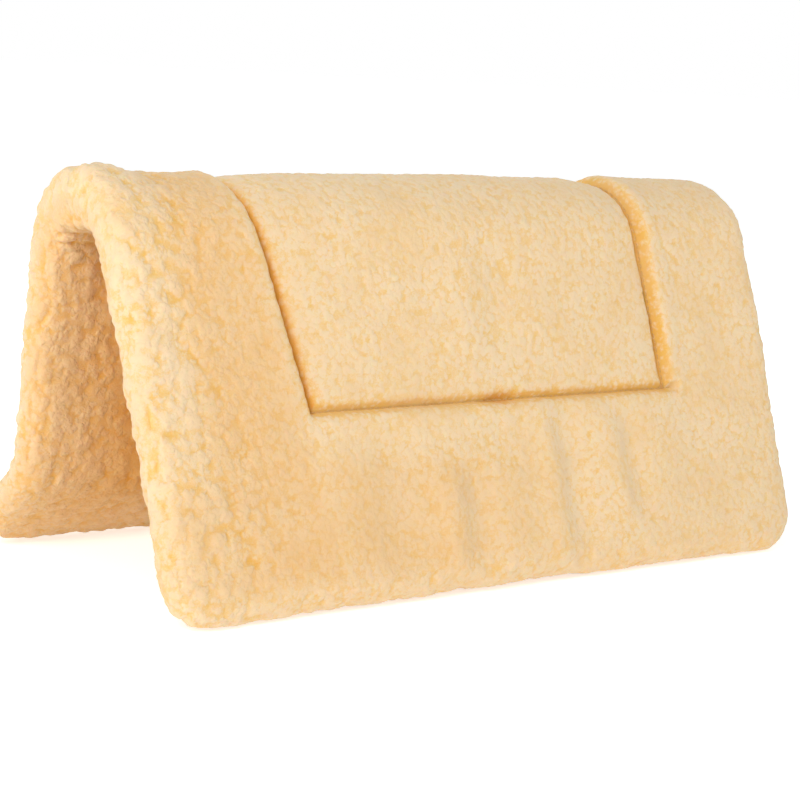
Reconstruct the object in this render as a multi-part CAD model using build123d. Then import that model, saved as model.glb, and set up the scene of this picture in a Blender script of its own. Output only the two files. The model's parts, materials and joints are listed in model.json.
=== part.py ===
"""A double-faced fleece saddle pad, draped over its own spine as it stands on its two flaps.

Frame: +X points to the front edge (towards the horse's head), +Y to the near (left) flap and +Z up.
The origin is the middle of the pad's footprint, on the surface that both flaps stand on.

The pad is drawn upright first, in a section plane of Y and Z whose zero is the middle of the crest's
bend. Every point of that section is named by its girth, measured along the middle of the pad's
thickness from the crest line (near side positive, off side negative), and by its offset from that
middle, positive outwards. The finished pad is then rolled until both of its feet touch the ground.
"""
import math
import os

from build123d import *

# ---- the pad as it is cut and sewn ----
SPINE_LENGTH = 762.0  # front edge to rear edge along the crest
HALF_GIRTH = 409.0  # crest line to the foot of a flap, over the middle of the thickness
FLEECE_THICKNESS = 15.0  # pile and backing of each fleece
FOAM_THICKNESS = 13.0  # sheet of foam between the two fleeces
CORNER_RADIUS = 45.0  # bottom corners of the flaps
RIM_ROUND = 20.0  # rounding of each fleece where it rolls over the edge
FOAM_INSET = 24.0  # foam stops this far inside the edge

# ---- the drape ----
CREST_RADIUS = 64.0  # bend over the spine, at the middle of the thickness
NEAR_SPLAY = 15.3  # near flap from the middle plane, degrees
OFF_SPLAY = 14.0  # off flap from the middle plane, degrees
OFF_FLARE = 39.5  # further turn of the off flap's foot, degrees
FLARE_LENGTH = 95.0  # straight stretch of the off flap below the flare's bend
FLARE_RADIUS = 53.0  # bend between the off flap and its flared foot

# ---- the seat box: seams sewn through all layers ----
FRONT_SEAM_AT_CREST = 238.0  # X of the front seam where it crosses the crest
REAR_SEAM_AT_CREST = -219.0  # X of the rear seam there
FRONT_SEAM_DRIFT = -60.0  # how far the front seam would lean rearwards by the near foot
REAR_SEAM_DRIFT = -9.0  # the same for the rear seam
LOWER_SEAM_GIRTH = 236.0  # crest line to the lower seam
SEAM_OVERRUN = 10.0  # lower seam runs on past the rear seam
CHANNEL_WIDTH = 9.0  # pile pressed down along a seam
CHANNEL_DEPTH = 11.0  # from a skin down to the floor of a channel
THREAD_WIDTH = 2.4  # row of stitches at the bottom of a channel
THREAD_THICKNESS = 1.2
EDGE_SEAM_INSET = 11.0  # closing seam, from the edge

# ---- folding ----
NEAR_CLOSING = 20.0  # how far each flap closes from the drape, degrees
OFF_CLOSING = 19.0
CLOSING_MARGIN = 1.0  # spare angle in each fold's wedge
FOLD_CLEARANCE = 0.4  # from the fold line to each side

HALF_THICKNESS = FLEECE_THICKNESS + FOAM_THICKNESS / 2
HALF_FOAM = FOAM_THICKNESS / 2
CHANNEL_FLOOR = HALF_THICKNESS - CHANNEL_DEPTH
BEYOND = 30.0  # how far a cutting shape passes the surface it cuts
TOUCHING = 0.01  # a point this near a surface is on it
STRAIGHT = 0.001  # a stretch whose ends and middle span less than this, in mm2, is a straight line

NEAR_BEND = 90.0 - NEAR_SPLAY
OFF_BEND = 90.0 - OFF_SPLAY


def bend_length(radius, degrees):
    """Length of a bend along the middle of the thickness."""
    return radius * math.radians(degrees)


# Each flap from the crest down: (turn in degrees, positive towards the hollow; length).
NEAR_CREST_LENGTH = bend_length(CREST_RADIUS, NEAR_BEND)
OFF_CREST_LENGTH = bend_length(CREST_RADIUS, OFF_BEND)
FLARE_BEND_LENGTH = bend_length(FLARE_RADIUS, OFF_FLARE)
NEAR_LEGS = [
    (NEAR_BEND, NEAR_CREST_LENGTH),
    (0.0, HALF_GIRTH - NEAR_CREST_LENGTH),
]
OFF_LEGS = [
    (OFF_BEND, OFF_CREST_LENGTH),
    (0.0, HALF_GIRTH - OFF_CREST_LENGTH - FLARE_BEND_LENGTH - FLARE_LENGTH),
    (-OFF_FLARE, FLARE_BEND_LENGTH),
    (0.0, FLARE_LENGTH),
]
NEAR_FOLD_GIRTH = NEAR_CREST_LENGTH / 2
OFF_FOLD_GIRTH = -OFF_CREST_LENGTH / 2


def section_point(girth, offset):
    """Point of the upright section at a girth and an offset, and the angle it faces from +Z."""
    side = 1.0 if girth >= 0.0 else -1.0
    y, z, facing = 0.0, CREST_RADIUS, 0.0
    left = abs(girth)
    for turn, length in NEAR_LEGS if girth >= 0.0 else OFF_LEGS:
        part = min(left, length)
        if turn:
            angle = math.radians(turn) * part / length
            radius = length / math.radians(turn)
            y += radius * (math.sin(facing + angle) - math.sin(facing))
            z += radius * (math.cos(facing + angle) - math.cos(facing))
            facing += angle
        else:
            y += part * math.cos(facing)
            z -= part * math.sin(facing)
        left -= part
        if left <= 0.0:
            break
    y += offset * math.sin(facing)
    z += offset * math.cos(facing)
    return Vector(0, side * y, z), side * math.degrees(facing)


def band(girth_from, girth_to, inner, outer):
    """Section face between two girths and two offsets."""
    joints = [0.0]
    for side, legs in ((1.0, NEAR_LEGS), (-1.0, OFF_LEGS)):
        reach = 0.0
        for _, length in legs:
            reach += length
            joints.append(side * reach)
    inside = [girth for girth in sorted(joints) if girth_from + TOUCHING < girth < girth_to - TOUCHING]
    stations = [girth_from, *inside, girth_to]

    def run(offset):
        edges = []
        for low, high in zip(stations, stations[1:]):
            start, _ = section_point(low, offset)
            middle, _ = section_point((low + high) / 2, offset)
            end, _ = section_point(high, offset)
            straight = abs((middle - start).cross(end - start).X) < STRAIGHT
            edges.append(Edge.make_line(start, end) if straight
                         else Edge.make_three_point_arc(start, middle, end))
        return edges

    outer_run, inner_run = run(outer), run(inner)
    caps = [
        Edge.make_line(inner_run[0] @ 0, outer_run[0] @ 0),
        Edge.make_line(inner_run[-1] @ 1, outer_run[-1] @ 1),
    ]
    return Face(Wire([*outer_run, *inner_run, *caps]))


def along_spine(face, rear, front):
    """Solid of a section face between two places along the spine."""
    return extrude(Pos(rear, 0, 0) * face, amount=front - rear, dir=(1, 0, 0))


CREST_HEIGHT = CREST_RADIUS + HALF_THICKNESS
DROP = CREST_HEIGHT - section_point(HALF_GIRTH, 0.0)[0].Z


def leaning_plane(x_at_crest, drift):
    """Plane across the spine, facing the front, that drifts along X from the crest to the feet."""
    return Plane(origin=(x_at_crest, 0, CREST_HEIGHT), x_dir=(0, 1, 0), z_dir=(DROP, 0, drift))


def half_panel(side, inset, inner, outer):
    """One side of the pad from the crest down, between two offsets, drawn in by the inset."""
    foot = side * (HALF_GIRTH - inset)
    half_length = SPINE_LENGTH / 2
    section = band(min(0.0, foot), max(0.0, foot), inner, outer)
    solid = along_spine(section, inset - half_length, half_length - inset)
    return fillet(corner_edges(solid, outer - inner), CORNER_RADIUS - inset)


def corner_edges(solid, thickness):
    """The two short edges through the thickness at the bottom corners."""
    longest = thickness + 2.0  # every other edge is far longer
    short = [edge for edge in solid.edges() if edge.length < longest]
    return sorted(short, key=lambda edge: edge.center().Z)[:2]


def panel(inset, inner, outer):
    """Whole panel of the pad between two offsets, drawn in from every edge by the inset."""
    return half_panel(1, inset, inner, outer) + half_panel(-1, inset, inner, outer)


def fleece(outwards):
    """One whole fleece, its rim rolled over to the middle of the thickness.

    outwards is 1 for the top fleece and -1 for the underside fleece.
    """
    skin = outwards * HALF_THICKNESS
    sides = []
    for side in (1, -1):
        solid = half_panel(side, 0.0, min(0.0, skin), max(0.0, skin))
        sides.append(fillet(skin_rim(solid, side, skin), RIM_ROUND))
    return sides[0] + sides[1]


def skin_rim(solid, side, skin):
    """Edges round a half panel's skin, apart from the one along the crest."""
    middles = [section_point(girth, skin)[0] for girth in leg_middles(side)]
    skin_faces = [face for face in solid.faces()
                  if any(face.distance_to(middle) < TOUCHING for middle in middles)]
    edges = [edge for face in skin_faces for edge in face.edges()]
    crest, _ = section_point(0.0, skin)
    return [edge for edge in edges
            if sum(edge.is_same(other) for other in edges) == 1
            and edge.distance_to(crest) > TOUCHING]


def leg_middles(side):
    """Girth of the middle of each bend and straight of a flap."""
    girth = 0.0
    middles = []
    for _, length in NEAR_LEGS if side > 0 else OFF_LEGS:
        middles.append(side * (girth + length / 2))
        girth += length
    return middles


def cross_strip(x_at_crest, drift, width, inner, outer):
    """Strip across the spine along a leaning seam, down to the lower seam's strip on each side."""
    reach = LOWER_SEAM_GIRTH - width / 2
    strip = along_spine(band(-reach, reach, inner, outer), -SPINE_LENGTH, SPINE_LENGTH)
    front = leaning_plane(x_at_crest + width / 2, drift)
    rear = leaning_plane(x_at_crest - width / 2, drift)
    strip = split(strip, bisect_by=front, keep=Keep.BOTTOM)
    return split(strip, bisect_by=rear, keep=Keep.TOP)


def seam_x(x_at_crest, drift, girth):
    """Place along the spine of a leaning seam at a girth."""
    point, _ = section_point(girth, HALF_THICKNESS)
    return x_at_crest + drift * (CREST_HEIGHT - point.Z) / DROP


def lower_strip(side, width, inner, outer):
    """Strip along a flap's lower seam, from the front seam to just past the rear seam."""
    girth = side * LOWER_SEAM_GIRTH
    front = seam_x(FRONT_SEAM_AT_CREST, FRONT_SEAM_DRIFT, girth) + width / 2
    rear = seam_x(REAR_SEAM_AT_CREST, REAR_SEAM_DRIFT, girth) - SEAM_OVERRUN
    return along_spine(band(girth - width / 2, girth + width / 2, inner, outer), rear, front)


def seam_strips(width, outwards, floor, roof):
    """The seat box's four seams on one skin: front, rear, near lower and off lower."""
    inner, outer = sorted((outwards * floor, outwards * roof))
    return {
        "front": cross_strip(FRONT_SEAM_AT_CREST, FRONT_SEAM_DRIFT, width, inner, outer),
        "rear": cross_strip(REAR_SEAM_AT_CREST, REAR_SEAM_DRIFT, width, inner, outer),
        "lower_near": lower_strip(1, width, inner, outer),
        "lower_off": lower_strip(-1, width, inner, outer),
    }


def fold_cut(girth, closing, side):
    """Fold line on the outer skin and the two planes of its wedge, on the spine's and flap's sides."""
    pivot, facing = section_point(girth, HALF_THICKNESS)
    half_wedge = (closing / 2 + CLOSING_MARGIN) * side
    planes = []
    for turn, shift in ((-half_wedge, -FOLD_CLEARANCE), (half_wedge, FOLD_CLEARANCE)):
        angle = math.radians(facing - turn)
        towards_foot = Vector(0, side * math.cos(angle), -side * math.sin(angle))
        planes.append(Plane(origin=pivot + towards_foot * shift, x_dir=(1, 0, 0), z_dir=towards_foot))
    return pivot, planes[0], planes[1]


NEAR_PIVOT, NEAR_SPINE_PLANE, NEAR_FLAP_PLANE = fold_cut(NEAR_FOLD_GIRTH, NEAR_CLOSING, 1)
OFF_PIVOT, OFF_SPINE_PLANE, OFF_FLAP_PLANE = fold_cut(OFF_FOLD_GIRTH, OFF_CLOSING, -1)


def by_body(shape):
    """Cut a whole layer or seam into the pieces that move with each body."""
    middle = Plane(origin=(0, 0, 0), x_dir=(1, 0, 0), z_dir=(0, 1, 0))
    near_side = split(shape, bisect_by=middle, keep=Keep.TOP)
    off_side = split(shape, bisect_by=middle, keep=Keep.BOTTOM)
    spine = split(shape, bisect_by=NEAR_SPINE_PLANE, keep=Keep.BOTTOM)
    return {
        "spine": split(spine, bisect_by=OFF_SPINE_PLANE, keep=Keep.BOTTOM),
        "near": split(near_side, bisect_by=NEAR_FLAP_PLANE, keep=Keep.TOP),
        "off": split(off_side, bisect_by=OFF_FLAP_PLANE, keep=Keep.TOP),
    }


def closing_seam():
    """Thread that closes the edge all round, between the two fleeces."""
    half_thread = THREAD_THICKNESS / 2
    half_width = THREAD_WIDTH / 2
    frame = (panel(EDGE_SEAM_INSET - half_width, -HALF_FOAM, HALF_FOAM)
             - panel(EDGE_SEAM_INSET + half_width, -HALF_FOAM, HALF_FOAM))
    sheet = band(-HALF_GIRTH, HALF_GIRTH, -half_thread, half_thread)
    return frame & along_spine(sheet, -SPINE_LENGTH, SPINE_LENGTH)


def build_layers():
    """Every piece of the pad in the upright position, by node name."""
    foam = panel(FOAM_INSET, -HALF_FOAM, HALF_FOAM)
    edge_seam = closing_seam()
    nodes = {}
    for layer, outwards in (("top_fleece", 1), ("underside_fleece", -1)):
        solid = fleece(outwards) - foam - edge_seam
        channels = seam_strips(CHANNEL_WIDTH, outwards, CHANNEL_FLOOR, HALF_THICKNESS + BEYOND)
        for channel in channels.values():
            solid = solid - channel
        nodes.update(named_by_body(layer, solid))
    nodes.update(named_by_body("foam_core", foam))
    nodes.update(named_by_body("edge_seam", edge_seam))
    for face, outwards in (("top_thread", 1), ("underside_thread", -1)):
        threads = seam_strips(THREAD_WIDTH, outwards, CHANNEL_FLOOR, CHANNEL_FLOOR + THREAD_THICKNESS)
        nodes.update(named_by_body("front_seam_" + face, threads["front"]))
        nodes.update(named_by_body("rear_seam_" + face, threads["rear"]))
        nodes["near_lower_seam_" + face] = threads["lower_near"]
        nodes["off_lower_seam_" + face] = threads["lower_off"]
    return nodes


def named_by_body(name, shape):
    """A layer's or seam's pieces, named for the body that each one moves with."""
    return {body + "_" + name: piece for body, piece in by_body(shape).items()}


def heel(side):
    """Middle of the underside's rounding at a flap's foot, which rolls on the ground."""
    middle, _ = section_point(side * (HALF_GIRTH - RIM_ROUND), RIM_ROUND - HALF_THICKNESS)
    return middle


def standing(nodes):
    """Roll the pad until both feet touch the ground, and put its footprint's middle at the origin."""
    near_heel = heel(1)
    off_heel = heel(-1)
    roll = math.degrees(math.atan2(off_heel.Z - near_heel.Z, near_heel.Y - off_heel.Y))
    rolled = {name: Rot(X=roll) * shape for name, shape in nodes.items()}
    box = Compound(children=list(rolled.values())).bounding_box()
    place = Pos(0, -(box.min.Y + box.max.Y) / 2, -box.min.Z) * Rot(X=roll)
    return {name: place * shape for name, shape in nodes.items()}, place


def main():
    """Write one STEP file for each piece."""
    nodes, place = standing(build_layers())
    os.makedirs("parts", exist_ok=True)
    for name, shape in nodes.items():
        shape.label = name
        export_step(shape, "parts/" + name + ".step")
    for name, pivot in (("near fold", NEAR_PIVOT), ("off fold", OFF_PIVOT)):
        line = (place * Pos(pivot.X, pivot.Y, pivot.Z)).position
        print(name, "line at Y", round(line.Y, 3), "Z", round(line.Z, 3))


if __name__ == "__main__":
    main()
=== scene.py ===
"""Looks of a double-faced fleece saddle pad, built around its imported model.

The pad is made as its maker makes it: flat on the bench, filled and sewn, and then laid over its
spine. So most of this file works in bench coordinates, in metres: x along the spine, girth across it
(near side positive, off side negative) and height off the middle of the thickness (top fleece
positive). The class Drape lays bench points over the spine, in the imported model's own frame.
"""
import json
import logging
import math
from collections.abc import Callable
from dataclasses import dataclass, field
from enum import Enum

import bpy
import numpy as np
from mathutils import Matrix, Vector


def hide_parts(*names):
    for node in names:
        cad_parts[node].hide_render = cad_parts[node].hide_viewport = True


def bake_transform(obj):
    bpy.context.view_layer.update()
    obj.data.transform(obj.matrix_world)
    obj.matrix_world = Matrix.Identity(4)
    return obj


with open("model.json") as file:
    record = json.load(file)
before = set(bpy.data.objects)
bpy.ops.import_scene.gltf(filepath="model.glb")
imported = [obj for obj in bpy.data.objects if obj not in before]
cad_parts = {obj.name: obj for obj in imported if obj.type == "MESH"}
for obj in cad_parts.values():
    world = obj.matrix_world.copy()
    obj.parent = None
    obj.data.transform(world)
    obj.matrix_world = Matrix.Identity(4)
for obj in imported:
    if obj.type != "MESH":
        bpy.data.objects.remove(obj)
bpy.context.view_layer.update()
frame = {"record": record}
LOG = logging.getLogger("saddle_pad")
MM = 0.001
TINY = 1e-9
Colour = tuple[float, float, float, float]
Place = tuple[float, float, float]
EdgeTest = Callable[[Vector, Vector], bool]


class Side(Enum):
    """The two flaps, by the sign of their girth."""

    NEAR = 1
    OFF = -1

    @property
    def word(self) -> str:
        """Give the side's name in lower case, as the nodes use it.

        Returns:
            near or off.
        """
        return self.name.lower()


class Skin(Enum):
    """The pad's two faces, by the sign of their height."""

    TOP = 1
    UNDERSIDE = -1


# ---------------------------------------------------------------- small tools


def deselect_all() -> None:
    """Leave nothing selected and nothing active, in object mode."""
    if bpy.context.object is not None and bpy.context.object.mode != "OBJECT":
        bpy.ops.object.mode_set(mode="OBJECT")
    for thing in bpy.context.selected_objects:
        thing.select_set(False)


def make_active(piece: bpy.types.Object) -> None:
    """Select one object alone and make it the active one.

    Args:
        piece: The object that the next operators work on.
    """
    deselect_all()
    piece.select_set(True)
    bpy.context.view_layer.objects.active = piece


def apply_modifier(piece: bpy.types.Object, name: str) -> None:
    """Apply one of an object's modifiers to its mesh.

    Args:
        piece: The object that has the modifier.
        name: The modifier's name.
    """
    make_active(piece)
    bpy.ops.object.modifier_apply(modifier=name)


def mesh_points(mesh: bpy.types.Mesh) -> np.ndarray:
    """Read a mesh's points.

    Args:
        mesh: The mesh to read.

    Returns:
        One row of three numbers for each vertex.
    """
    flat = np.empty(len(mesh.vertices) * 3)
    mesh.vertices.foreach_get("co", flat)
    return flat.reshape(-1, 3)


def set_mesh_points(mesh: bpy.types.Mesh, points: np.ndarray) -> None:
    """Write a mesh's points back.

    Args:
        mesh: The mesh to change.
        points: One row of three numbers for each vertex.
    """
    mesh.vertices.foreach_set("co", points.ravel())
    mesh.update()


def mesh_normals(mesh: bpy.types.Mesh) -> np.ndarray:
    """Read a mesh's vertex normals.

    Args:
        mesh: The mesh to read.

    Returns:
        One unit row for each vertex.
    """
    flat = np.empty(len(mesh.vertices) * 3)
    mesh.vertex_normals.foreach_get("vector", flat)
    return flat.reshape(-1, 3)


def smooth_step(values: np.ndarray, low: float, high: float) -> np.ndarray:
    """Ease from 0 at low to 1 at high.

    Args:
        values: The numbers to ease.
        low: Where the result is 0.
        high: Where the result is 1.

    Returns:
        The eased numbers.
    """
    part = np.clip((values - low) / (high - low), 0.0, 1.0)
    return part * part * (3.0 - 2.0 * part)


def hill(distance: np.ndarray, width: float | np.ndarray) -> np.ndarray:
    """Shape a smooth hill that is 1 high at distance 0.

    Args:
        distance: Distance of each place from the hill's top.
        width: Distance at which it has fallen to about a third.

    Returns:
        The height at each place.
    """
    return np.exp(-(distance / width) ** 2)


# ---------------------------------------------------------------- wool relief


def cell_random(cells: np.ndarray, seed: int) -> np.ndarray:
    """Give every whole-number cell its own repeatable number.

    Args:
        cells: Rows of three whole numbers.
        seed: Which of the many such fields to give.

    Returns:
        One number from 0 to 1 for each row.
    """
    mixed = cells.astype(np.int64) * np.array([73856093, 19349663, 83492791])
    value = (mixed[:, 0] ^ mixed[:, 1] ^ mixed[:, 2] ^ (seed * 2654435761)) & 0xFFFFFFFF
    value = ((value ^ (value >> 16)) * 73244475) & 0xFFFFFFFF
    value = ((value ^ (value >> 16)) * 73244475) & 0xFFFFFFFF
    return ((value ^ (value >> 16)) & 0xFFFFFF) / float(0xFFFFFF)


def soft_noise(points: np.ndarray, size: float, seed: int) -> np.ndarray:
    """Smooth random swelling with features of about the given size.

    Args:
        points: Places in bench coordinates.
        size: Distance between neighbouring random values, in metres.
        seed: Which field to give.

    Returns:
        One number from -1 to 1 for each place.
    """
    scaled = points / size
    corner = np.floor(scaled).astype(np.int64)
    part = scaled - corner
    part = part * part * (3.0 - 2.0 * part)
    total = np.zeros(len(points))
    for offset in np.ndindex(2, 2, 2):
        weight = np.ones(len(points))
        for axis in range(3):
            weight *= part[:, axis] if offset[axis] else 1.0 - part[:, axis]
        total += weight * cell_random(corner + np.array(offset), seed)
    return total * 2.0 - 1.0


def wool_locks(points: np.ndarray, size: float, seed: int) -> np.ndarray:
    """Rounded locks of wool of uneven height, crowding over each other.

    Args:
        points: Places in bench coordinates.
        size: Usual spacing of the locks, in metres.
        seed: Which field to give.

    Returns:
        One number for each place, near 1 on a high lock's crown and near 0 in a deep crease.
    """
    scaled = points / size
    home = np.floor(scaled).astype(np.int64)
    crown = np.zeros(len(points))
    for offset in np.ndindex(3, 3, 3):
        cell = home + np.array(offset) - 1
        spot = np.stack([cell_random(cell, seed + axis) for axis in range(3)], axis=1)
        gap = np.linalg.norm(cell + 0.1 + 0.8 * spot - scaled, axis=1)
        tall = 0.55 + 0.45 * cell_random(cell, seed + 3)
        crown = np.maximum(crown, tall * np.clip(1.0 - (gap / 1.05) ** 2, 0.0, 1.0))
    return crown


@dataclass(frozen=True)
class Pile:
    """How deep and how coarse the wool stands.

    Attributes:
        coarse_size: Spacing of the locks where the pile is open and curly.
        coarse_depth: Height of those locks.
        fine_size: Spacing of the locks where the pile is short and even.
        fine_depth: Height of those locks.
        swirl_size: Spacing of the swirls that curl the locks.
        swirl_reach: How far a swirl pushes them.
        drift_size: Spacing of the pile's slow rise and fall.
        drift_depth: Height of that rise and fall.
        middle_lock: Lock field at which the pile neither rises nor sinks.
        border_open: From the front edge to where the open border starts to close.
        border_closed: From the front edge to where the pile is short.
        rim_openness: How open the pile is where it rolls over the edge.
        rim_open: From any edge to where that starts to close.
        rim_closed: From any edge to where the pile is short.
        under_openness: How open the pile is on the underside.
        patchiness: How much the openness varies from patch to patch.
        patch_size: Spacing of the patches.
    """

    coarse_size: float = 12.0 * MM
    coarse_depth: float = 7.5 * MM
    fine_size: float = 6.5 * MM
    fine_depth: float = 2.4 * MM
    swirl_size: float = 14.0 * MM
    swirl_reach: float = 6.0 * MM
    drift_size: float = 34.0 * MM
    drift_depth: float = 1.2 * MM
    middle_lock: float = 0.62
    border_open: float = 55.0 * MM
    border_closed: float = 150.0 * MM
    rim_openness: float = 0.45
    rim_open: float = 10.0 * MM
    rim_closed: float = 45.0 * MM
    under_openness: float = 0.8
    patchiness: float = 0.2
    patch_size: float = 60.0 * MM

    def coarseness(
        self, points: np.ndarray, from_front: np.ndarray, edge_gap: np.ndarray
    ) -> np.ndarray:
        """Work out how open and curly the pile is.

        Args:
            points: Places in bench coordinates.
            from_front: Distance of each place from the front edge.
            edge_gap: Distance of each place from the nearest edge.

        Returns:
            0 for short even pile and 1 for open curly pile, for each place.
        """
        border = 1.0 - smooth_step(from_front, self.border_open, self.border_closed)
        rim = self.rim_openness * (1.0 - smooth_step(edge_gap, self.rim_open, self.rim_closed))
        under = np.where(points[:, 2] < 0.0, self.under_openness, 0.0)
        patch = self.patchiness * soft_noise(points, self.patch_size, 43)
        return np.clip(np.maximum(np.maximum(border, rim), under) + patch, 0.0, 1.0)

    def relief(self, points: np.ndarray, coarseness: np.ndarray) -> tuple[np.ndarray, np.ndarray]:
        """Work out how far the wool stands at each place.

        Args:
            points: Places in bench coordinates.
            coarseness: 0 for short even pile and 1 for open curly pile, for each place.

        Returns:
            The height to add along the normal, and the lock field from 0 to 1, which sets the painted
            shade in the creases.
        """
        swirl = np.stack([soft_noise(points, self.swirl_size, 11 + axis) for axis in range(3)], axis=1)
        curled = points + swirl * self.swirl_reach
        coarse = wool_locks(curled, self.coarse_size, 31)
        fine = wool_locks(curled, self.fine_size, 57)
        drift = soft_noise(points, self.drift_size, 73)
        coarse = 0.75 * coarse + 0.25 * fine
        open_locks = coarseness * (coarse - self.middle_lock)
        short_locks = (1.0 - coarseness) * (fine - self.middle_lock)
        height = self.coarse_depth * open_locks + self.fine_depth * short_locks
        locks = self.middle_lock + open_locks + 0.45 * short_locks
        return height + drift * self.drift_depth, locks


# ---------------------------------------------------------------- the drape


@dataclass
class Drape:
    """The spine and flaps that the flat pad is laid over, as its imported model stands.

    Attributes:
        crest_radius: Bend over the spine, at the middle of the thickness.
        near_splay: Near flap from the middle plane, in degrees.
        off_splay: Off flap from the middle plane, in degrees.
        off_flare: Further turn of the off flap's foot, in degrees.
        flare_length: Straight stretch below the flare's bend.
        flare_radius: Radius of the flare's bend.
        half_girth: Crest line to the foot of a flap.
        half_thickness: Middle of the thickness to the skin.
        rim_round: Rounding of each fleece over the edge.
        half_length: Middle of the spine to the front or the rear edge.
        near_front_draw: How far the front edge is drawn in at the near foot.
        off_front_draw: The same at the off foot.
        rear_draw: The same for the rear edge, at both feet.
    """

    crest_radius: float = 64.0 * MM
    near_splay: float = 15.3
    off_splay: float = 14.0
    off_flare: float = 39.5
    flare_length: float = 95.0 * MM
    flare_radius: float = 53.0 * MM
    half_girth: float = 409.0 * MM
    half_thickness: float = 21.5 * MM
    rim_round: float = 20.0 * MM
    half_length: float = 381.0 * MM
    near_front_draw: float = 20.0 * MM
    off_front_draw: float = 5.0 * MM
    rear_draw: float = 12.0 * MM
    roll: float = field(init=False, default=0.0)
    shift: np.ndarray = field(init=False, default_factory=lambda: np.zeros(2))

    def __post_init__(self) -> None:
        """Roll the section until both feet are level, and put the near fold where the model has it."""
        heel = self.half_girth - self.rim_round
        depth = self.rim_round - self.half_thickness
        near = self.section(np.array([heel]), np.array([depth]))[0]
        off = self.section(np.array([-heel]), np.array([depth]))[0]
        self.roll = math.atan2(off[1] - near[1], near[0] - off[0])
        fold = next(joint for joint in frame["record"]["behaviour"]["joints"]
                    if joint["name"] == "near_flap_fold")
        here = self.place(np.array([[0.0, self.fold_girth(Side.NEAR), self.half_thickness]]))[0]
        self.shift = np.array(fold["pos_m"][1:]) - here[1:]

    def crest_bend(self, side: Side) -> float:
        """Work out the angle that one side turns through over the crest.

        Args:
            side: The flap on that side.

        Returns:
            The angle in radians.
        """
        return math.radians(90.0 - (self.near_splay if side is Side.NEAR else self.off_splay))

    def fold_girth(self, side: Side) -> float:
        """Work out where a flap's fold line lies, half way round its side of the crest.

        Args:
            side: The flap.

        Returns:
            The girth from the crest line, without a sign.
        """
        return self.crest_radius * self.crest_bend(side) / 2

    def legs(self, side: Side) -> list[tuple[float, float]]:
        """List a side's bends and straights.

        Args:
            side: The flap to describe.

        Returns:
            (turn in radians, length) from the crest down, with turns towards the hollow positive.
        """
        crest = self.crest_bend(side)
        crest_length = self.crest_radius * crest
        if side is Side.NEAR:
            return [(crest, crest_length), (0.0, self.half_girth - crest_length)]
        flare = math.radians(self.off_flare)
        flare_bend = self.flare_radius * flare
        straight = self.half_girth - crest_length - flare_bend - self.flare_length
        return [(crest, crest_length), (0.0, straight), (-flare, flare_bend), (0.0, self.flare_length)]

    def section(self, girth: np.ndarray, height: np.ndarray) -> np.ndarray:
        """Lay points of the bench over the upright section.

        Args:
            girth: Signed girth of each point.
            height: Height of each point off the middle of the thickness.

        Returns:
            Rows of Y and Z before the roll, with zero at the middle of the crest's bend.
        """
        result = np.zeros((len(girth), 2))
        for side in Side:
            mine = girth >= 0.0 if side is Side.NEAR else girth < 0.0
            left = np.abs(girth[mine])
            y = np.zeros(len(left))
            z = np.full(len(left), self.crest_radius)
            facing = np.zeros(len(left))
            legs = self.legs(side)
            for number, (turn, length) in enumerate(legs):
                last = number == len(legs) - 1
                part = np.maximum(left, 0.0) if last else np.clip(left, 0.0, length)
                if turn:
                    angle = turn * part / length
                    radius = length / turn
                    y += radius * (np.sin(facing + angle) - np.sin(facing))
                    z += radius * (np.cos(facing + angle) - np.cos(facing))
                    facing = facing + angle
                else:
                    y += part * np.cos(facing)
                    z -= part * np.sin(facing)
                left = left - length
            y += height[mine] * np.sin(facing)
            z += height[mine] * np.cos(facing)
            result[mine, 0] = y * side.value
            result[mine, 1] = z
        return result

    def place(self, points: np.ndarray) -> np.ndarray:
        """Lay bench points over the spine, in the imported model's frame.

        Args:
            points: Rows of x, girth and height.

        Returns:
            Rows of X, Y and Z.
        """
        upright = self.section(points[:, 1], points[:, 2])
        cos, sin = math.cos(self.roll), math.sin(self.roll)
        y = upright[:, 0] * cos - upright[:, 1] * sin + self.shift[0]
        z = upright[:, 0] * sin + upright[:, 1] * cos + self.shift[1]
        return np.stack([self.drawn_in(points), y, z], axis=1)

    def drawn_in(self, points: np.ndarray) -> np.ndarray:
        """Draw the front and rear edges in towards the feet.

        Args:
            points: Rows of x, girth and height.

        Returns:
            The new place along the spine of each point.
        """
        down = np.maximum(self.drop(points[:, 1]), 0.0) ** 1.3
        ahead = np.maximum(points[:, 0] / self.half_length, 0.0)
        behind = np.maximum(-points[:, 0] / self.half_length, 0.0)
        front_draw = np.where(points[:, 1] >= 0.0, self.near_front_draw, self.off_front_draw)
        return points[:, 0] + down * (self.rear_draw * behind ** 2 - front_draw * ahead ** 2)

    def drop(self, girth: np.ndarray) -> np.ndarray:
        """Measure how far down towards the near foot each girth lies.

        Args:
            girth: Signed girths.

        Returns:
            0 at the crest and 1 at the near foot, for each girth.
        """
        skin = np.full(len(girth), self.half_thickness)
        top = self.crest_radius + self.half_thickness
        foot = self.section(np.array([self.half_girth]), np.array([0.0]))[0, 1]
        return (top - self.section(girth, skin)[:, 1]) / (top - foot)


# ---------------------------------------------------------------- the sewn pattern


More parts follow.
